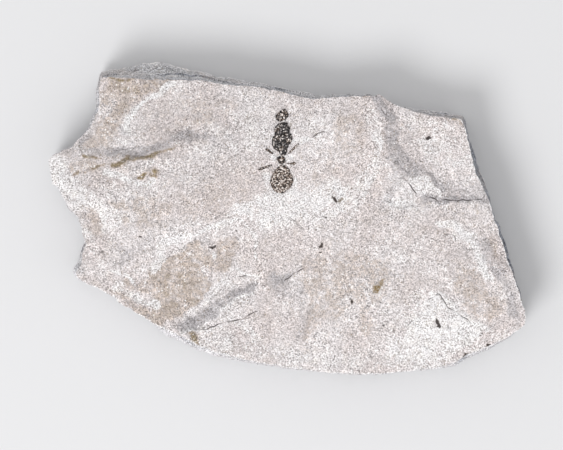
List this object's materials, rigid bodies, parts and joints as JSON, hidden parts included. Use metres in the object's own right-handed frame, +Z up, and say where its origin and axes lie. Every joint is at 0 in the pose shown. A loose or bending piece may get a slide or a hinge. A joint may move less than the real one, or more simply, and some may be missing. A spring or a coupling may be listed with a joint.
{
  "type": "fossil ant",
  "caption": "Fossil ant pressed on the bedding face of a loose broken slab of pale lake shale, which lies flat on its underside.",
  "frame": {"origin": "under the middle of the slab's box, on the surface that the slab rests on", "axes": "+X along the slab's length, +Y the way the ant's head points, +Z up out of the bedding face that carries the ant"},
  "size_m": [0.0574, 0.0379, 0.0071],
  "materials": {
    "shale": "matt, fine-grained pale beige bedding face with brown stains, grey where it is broken",
    "film": "thin dark brown carbonised film, crinkled, with a slight sheen"
  },
  "bodies": {
    "root": {"shale_slab": "shale", "head": "film", "thorax": "film", "petiole": "film", "gaster": "film", "right_middle_leg": "film", "left_middle_leg": "film", "right_hind_leg": "film", "left_hind_leg": "film"}
  },
  "joints": []
}
